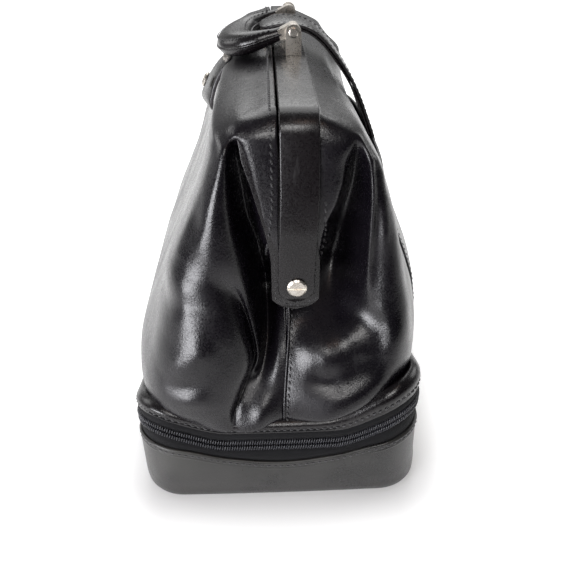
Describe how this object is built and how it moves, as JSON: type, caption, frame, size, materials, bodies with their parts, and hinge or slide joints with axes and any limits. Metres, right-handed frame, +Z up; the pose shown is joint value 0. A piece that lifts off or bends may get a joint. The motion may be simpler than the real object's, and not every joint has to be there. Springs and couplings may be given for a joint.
{
  "type": "doctor bag",
  "caption": "Leather doctor bag with a hinged steel frame mouth, padded swing handle, closure strap over the top and a zipped bottom compartment.",
  "frame": {"origin": "middle of the underside of the base, on the surface that it stands on", "axes": "+X along the bag's length towards the end seen in the picture, +Y towards its back, +Z up"},
  "size_m": [0.432, 0.2225, 0.2925],
  "materials": {
    "body_leather": "glossy smooth near-black leather with a fine grain",
    "trim_leather": "glossy near-black leather, stitched at its edges",
    "lining": "woven cotton lining",
    "board": "stiffening fibreboard",
    "zip_tape": "black woven zip tape",
    "zip_teeth": "black moulded zip teeth",
    "nickel": "polished nickel plate",
    "steel": "plain steel strip"
  },
  "bodies": {
    "base": {"base_floor": "body_leather", "base_board": "board", "base_wall": "body_leather", "base_rim_band": "trim_leather", "base_lining": "lining", "zip_tape_lower": "zip_tape", "zip_teeth_lower": "zip_teeth", "back_hinge_strip": "trim_leather"},
    "zip_left": {"zip_slider_left": "nickel"},
    "zip_right": {"zip_slider_right": "nickel"},
    "pull_left": {"zip_pull_left": "trim_leather"},
    "pull_right": {"zip_pull_right": "trim_leather"},
    "upper_body": {"divider_board": "board", "upper_rim_band": "trim_leather", "zip_tape_upper": "zip_tape", "zip_teeth_upper": "zip_teeth", "front_panel": "body_leather", "back_panel": "body_leather", "upper_lining": "lining", "front_shoulder": "body_leather", "back_shoulder": "body_leather", "back_pocket": "body_leather"},
    "front_frame": {"front_frame_bar": "steel", "front_band": "trim_leather", "lock_catch": "nickel", "lock_case": "nickel", "front_tab": "trim_leather", "tab_stud": "nickel"},
    "back_frame": {"back_frame_bar": "steel", "back_band": "trim_leather", "hinge_rivet_near": "nickel", "hinge_rivet_far": "nickel", "handle_lug_near": "nickel", "handle_lug_far": "nickel", "handle_screw_near": "nickel", "handle_screw_far": "nickel", "strap_anchor": "trim_leather"},
    "handle": {"handle_core": "steel", "handle_top_cover": "trim_leather", "handle_bottom_cover": "trim_leather", "handle_end_near": "nickel", "handle_end_far": "nickel"},
    "closure_strap": {"closure_strap": "trim_leather", "strap_lining": "trim_leather", "lock_tongue": "nickel"}
  },
  "joints": [
    {"name": "lid_open", "type": "hinge", "parent": "base", "child": "upper_body", "pos_m": [0, 0.0995, 0.055], "axis": [-1, 0, 0], "range_deg": [0, 80]},
    {"name": "front_frame_open", "type": "hinge", "parent": "upper_body", "child": "front_frame", "pos_m": [0, 0.0115, 0.166], "axis": [1, 0, 0], "range_deg": [0, 38], "deforming": ["front_shoulder"]},
    {"name": "back_frame_open", "type": "hinge", "parent": "upper_body", "child": "back_frame", "pos_m": [0, 0.0115, 0.166], "axis": [-1, 0, 0], "range_deg": [0, 38], "deforming": ["back_shoulder", "back_pocket"]},
    {"name": "handle_swing", "type": "hinge", "parent": "back_frame", "child": "handle", "pos_m": [0, 0.0155, 0.2872], "axis": [-1, 0, 0], "range_deg": [0, 190]},
    {"name": "strap_lift", "type": "hinge", "parent": "back_frame", "child": "closure_strap", "pos_m": [0, 0.066, 0.235], "axis": [-1, 0, 0], "range_deg": [0, 70]},
    {"name": "zip_slide_left", "type": "slide", "parent": "base", "child": "zip_left", "axis": [-1, 0, 0], "range_m": [0, 0.15]},
    {"name": "zip_slide_right", "type": "slide", "parent": "base", "child": "zip_right", "axis": [1, 0, 0], "range_m": [0, 0.15]},
    {"name": "pull_left_swing", "type": "hinge", "parent": "zip_left", "child": "pull_left", "pos_m": [-0.0085, -0.1075, 0.053], "axis": [-1, 0, 0], "range_deg": [0, 100]},
    {"name": "pull_right_swing", "type": "hinge", "parent": "zip_right", "child": "pull_right", "pos_m": [0.0085, -0.1075, 0.053], "axis": [-1, 0, 0], "range_deg": [0, 100]}
  ]
}
